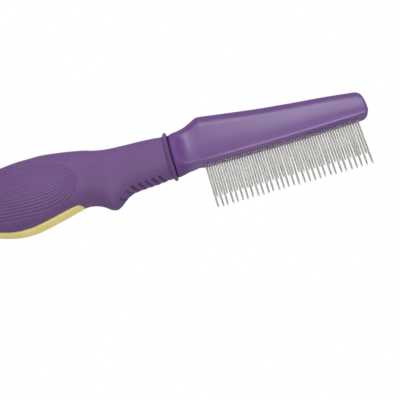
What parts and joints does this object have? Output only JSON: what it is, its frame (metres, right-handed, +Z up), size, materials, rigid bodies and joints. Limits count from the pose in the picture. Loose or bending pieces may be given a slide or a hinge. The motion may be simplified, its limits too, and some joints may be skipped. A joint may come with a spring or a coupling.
{
  "type": "undercoat rake",
  "caption": "Grooming comb with a soft contoured grip, a tapered plastic head and one row of steel pin teeth, long and short in turn.",
  "frame": {"origin": "centre of the hang hole in the butt of the handle, on the mid plane", "axes": "+X runs along the tool from the butt to the tip of the toothed head, which is its longest side. +Y is across the thin width, so the flat faces of the head look along -Y and +Y. +Z is up, and the teeth point to -Z."},
  "size_m": [0.2341, 0.0294, 0.0546],
  "materials": {
    "soft_grip": "matte soft-touch purple, slightly grained",
    "core": "moulded rigid plastic, hidden under the grip",
    "inlay": "soft pale yellow insert",
    "eyelet": "satin pale yellow",
    "ring": "matte purple with a fine cord texture",
    "head": "semi-gloss moulded purple plastic",
    "bar": "moulded holder inside the head",
    "teeth": "drawn and tumbled stainless wire, round tips",
    "pins": "ground dowel pins"
  },
  "bodies": {
    "root": {"grip_overmould": "soft_grip", "handle_core_front": "core", "handle_core_back": "core", "palm_inlay": "inlay", "hang_eyelet": "eyelet", "collar_ring": "ring", "head_front_shell": "head", "head_back_shell": "head", "tooth_bar": "bar", "long_teeth": "teeth", "short_teeth": "teeth", "tang_pins": "pins"}
  },
  "joints": []
}
